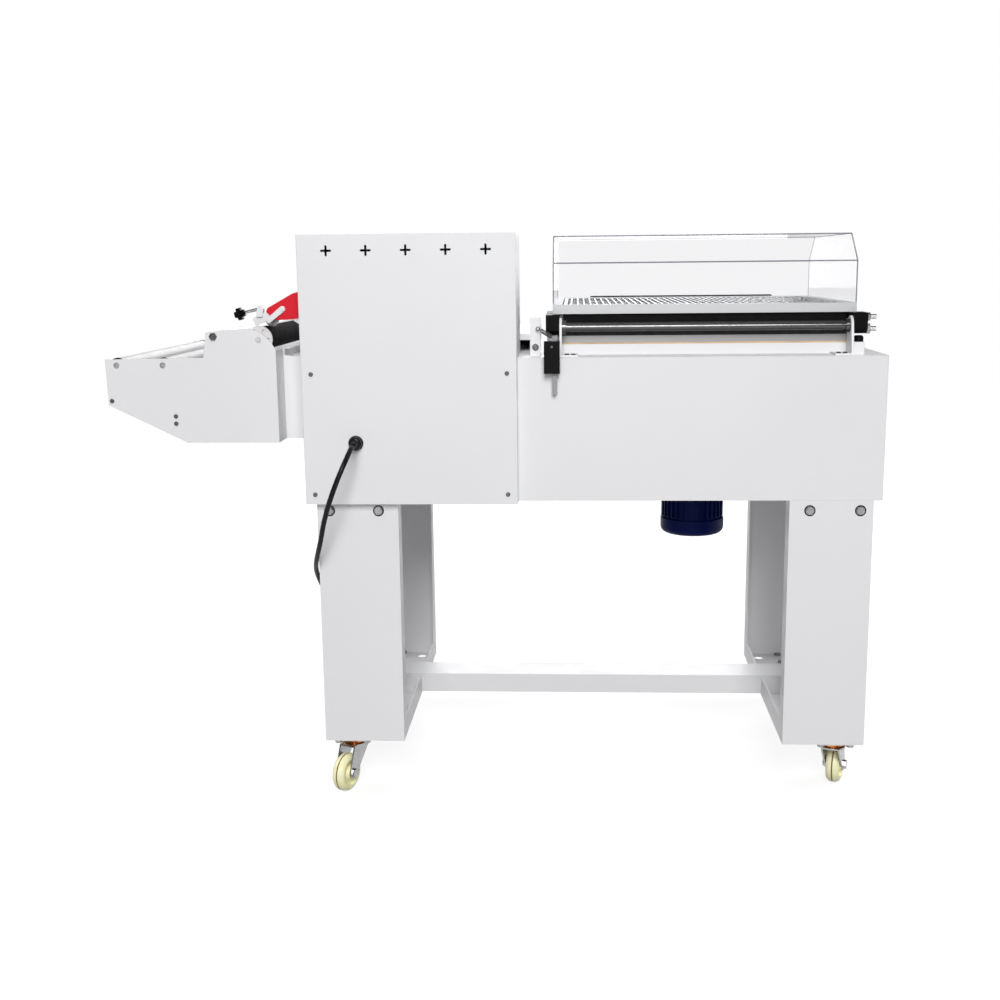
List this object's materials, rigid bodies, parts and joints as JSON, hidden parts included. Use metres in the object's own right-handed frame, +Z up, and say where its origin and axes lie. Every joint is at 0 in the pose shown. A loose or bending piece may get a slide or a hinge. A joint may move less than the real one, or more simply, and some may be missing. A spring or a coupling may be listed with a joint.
{
  "type": "l bar sealer",
  "caption": "Shrink-wrap machine: clear hinged hood with an L-shaped sealing frame over a heated chamber, film rack and control box on a leg frame with casters.",
  "frame": {"origin": "middle of the whole machine's base on the floor, measured without the mains lead", "axes": "+X to the operator's right towards the film rack, +Y to the rear, +Z up"},
  "size_m": [1.469, 0.7278, 1.084],
  "materials": {
    "white_paint": "satin white powder coat",
    "zinc_steel": "bright zinc plate",
    "stainless_steel": "brushed stainless sheet and rod",
    "bright_steel": "ground and polished",
    "black_steel": "satin black",
    "motor_paint": "dark navy enamel",
    "red_paint": "red enamel",
    "aluminium": "anodised",
    "black_rubber": "matte black",
    "heat_proof_strip": "beige heat-proof strip",
    "clear_acrylic": "clear acrylic sheet",
    "black_plastic": "moulded black",
    "red_plastic": "moulded red",
    "white_plastic": "white tube with black end caps",
    "cream_tyre": "cream-yellow polyurethane",
    "cord_rubber": "black rubber sheath"
  },
  "bodies": {
    "root": {"leg_frame_left": "white_paint", "leg_frame_right": "white_paint", "cross_brace": "white_paint", "frame_bolts": "zinc_steel", "caster_top_plates": "zinc_steel", "cabinet_shell": "white_paint", "cabinet_floor": "white_paint", "deck_plate": "white_paint", "insulating_strips": "heat_proof_strip", "shrink_chamber": "stainless_steel", "chamber_seal": "black_rubber", "lower_jaw_bars": "aluminium", "heater_elements": "stainless_steel", "fan_guard": "stainless_steel", "fan_motor": "motor_paint", "hinge_brackets": "white_paint", "hinge_shaft": "bright_steel", "limit_switch": "black_plastic", "lift_spring": "bright_steel", "control_box_housing": "white_paint", "control_box_cover": "white_paint", "case_screws": "zinc_steel", "control_panel": "white_paint", "control_electrics": "black_plastic", "cable_gland": "black_plastic", "power_cord": "cord_rubber", "power_cord_coil": "cord_rubber", "power_plug": "black_plastic", "rack_rear_plate": "white_paint", "rack_front_plate": "white_paint", "rack_tie_bars": "white_paint", "perforator_guard": "red_paint", "loading_tray": "white_paint"},
    "hood": {"hood_dome": "clear_acrylic", "sealing_frame": "aluminium", "frame_gasket": "black_rubber", "upper_jaw_bars": "aluminium", "hinge_blocks": "black_steel", "frame_handle": "black_plastic"},
    "fan_rotor": {"fan_wheel": "zinc_steel"},
    "grid": {"product_grid": "stainless_steel"},
    "film_roller_outer_body": {"film_roller_outer": "white_plastic"},
    "film_roller_inner_body": {"film_roller_inner": "white_plastic"},
    "feed_roller_body": {"feed_roller": "black_rubber"},
    "perforator": {"perforator_arm": "white_paint"},
    "pin_wheel_body": {"pin_wheels": "zinc_steel"},
    "knob_body": {"tension_knob": "black_plastic"},
    "film_head": {"inverting_head": "stainless_steel"},
    "stop_button": {"emergency_stop": "red_plastic"},
    "main_switch": {"power_switch": "black_plastic"},
    "lever": {"switch_lever": "zinc_steel"},
    "swivel_rear_right": {"caster_fork_rear_right": "zinc_steel"},
    "wheel_rear_right": {"caster_wheel_rear_right": "cream_tyre"},
    "swivel_rear_left": {"caster_fork_rear_left": "zinc_steel"},
    "wheel_rear_left": {"caster_wheel_rear_left": "cream_tyre"},
    "swivel_front_right": {"caster_fork_front_right": "zinc_steel"},
    "wheel_front_right": {"caster_wheel_front_right": "cream_tyre"},
    "swivel_front_left": {"caster_fork_front_left": "zinc_steel"},
    "wheel_front_left": {"caster_wheel_front_left": "cream_tyre"}
  },
  "joints": [
    {"name": "hood_hinge", "type": "hinge", "parent": "root", "child": "hood", "pos_m": [-0.3995, 0.25215, 0.91], "axis": [-1, 0, 0], "range_deg": [0, 55]},
    {"name": "fan_spin", "type": "hinge", "parent": "root", "child": "fan_rotor", "pos_m": [-0.4065, -0.01685, 0.656], "axis": [0, 0, 1], "continuous": true},
    {"name": "grid_height", "type": "slide", "parent": "root", "child": "grid", "axis": [0, 0, 1], "range_m": [-0.08, 0]},
    {"name": "film_roller_outer_spin", "type": "hinge", "parent": "root", "child": "film_roller_outer_body", "pos_m": [0.7125, -0.00785, 0.846], "axis": [0, 1, 0], "continuous": true},
    {"name": "film_roller_inner_spin", "type": "hinge", "parent": "root", "child": "film_roller_inner_body", "pos_m": [0.6235, -0.00785, 0.846], "axis": [0, 1, 0], "continuous": true},
    {"name": "feed_roller_spin", "type": "hinge", "parent": "root", "child": "feed_roller_body", "pos_m": [0.4375, -0.00785, 0.893], "axis": [0, 1, 0], "continuous": true},
    {"name": "perforator_lift", "type": "hinge", "parent": "root", "child": "perforator", "pos_m": [0.3985, 0.22515, 0.948], "axis": [0, -1, 0], "range_deg": [0, 26]},
    {"name": "pin_wheel_spin", "type": "hinge", "parent": "perforator", "child": "pin_wheel_body", "pos_m": [0.4255, 0.20365, 0.92652], "axis": [0, 1, 0], "continuous": true},
    {"name": "tension_knob_turn", "type": "hinge", "parent": "perforator", "child": "knob_body", "pos_m": [0.4785, 0.22515, 0.94], "axis": [0.9703, 0, -0.2419], "continuous": true},
    {"name": "film_head_slide", "type": "slide", "parent": "root", "child": "film_head", "axis": [0, 1, 0], "range_m": [-0.04, 0.04]},
    {"name": "stop_button_push", "type": "slide", "parent": "root", "child": "stop_button", "axis": [0, 1, 0], "range_m": [0, 0.005], "stiffness_N_per_m": 400, "springref_m": -0.002},
    {"name": "main_switch_turn", "type": "hinge", "parent": "root", "child": "main_switch", "pos_m": [0.2625, 0.16215, 0.922], "axis": [0, -1, 0], "range_deg": [-90, 0]},
    {"name": "switch_lever_swing", "type": "hinge", "parent": "root", "child": "lever", "pos_m": [-0.121, 0.30465, 0.871], "axis": [0, 1, 0], "range_deg": [-7, 7], "stiffness_Nm_per_rad": 0.05, "deforming": ["lift_spring"]},
    {"name": "swivel_rear_right_turn", "type": "hinge", "parent": "root", "child": "swivel_rear_right", "pos_m": [0.283, 0.25215, 0.09], "axis": [0, 0, 1], "continuous": true},
    {"name": "wheel_rear_right_roll", "type": "hinge", "parent": "swivel_rear_right", "child": "wheel_rear_right", "pos_m": [0.29686, 0.28646, 0.0375], "axis": [-0.9272, 0.3746, 0], "continuous": true},
    {"name": "swivel_rear_left_turn", "type": "hinge", "parent": "root", "child": "swivel_rear_left", "pos_m": [-0.665, 0.25215, 0.09], "axis": [0, 0, 1], "continuous": true},
    {"name": "wheel_rear_left_roll", "type": "hinge", "parent": "swivel_rear_left", "child": "wheel_rear_left", "pos_m": [-0.67826, 0.21761, 0.0375], "axis": [0.9336, -0.3584, 0], "continuous": true},
    {"name": "swivel_front_right_turn", "type": "hinge", "parent": "root", "child": "swivel_front_right", "pos_m": [0.283, -0.24185, 0.09], "axis": [0, 0, 1], "continuous": true},
    {"name": "wheel_front_right_roll", "type": "hinge", "parent": "swivel_front_right", "child": "wheel_front_right", "pos_m": [0.31653, -0.22621, 0.0375], "axis": [-0.4226, 0.9063, 0], "continuous": true},
    {"name": "swivel_front_left_turn", "type": "hinge", "parent": "root", "child": "swivel_front_left", "pos_m": [-0.665, -0.24185, 0.09], "axis": [0, 0, 1], "continuous": true},
    {"name": "wheel_front_left_roll", "type": "hinge", "parent": "swivel_front_left", "child": "wheel_front_left", "pos_m": [-0.69854, -0.25749, 0.0375], "axis": [0.4226, -0.9063, 0], "continuous": true}
  ]
}
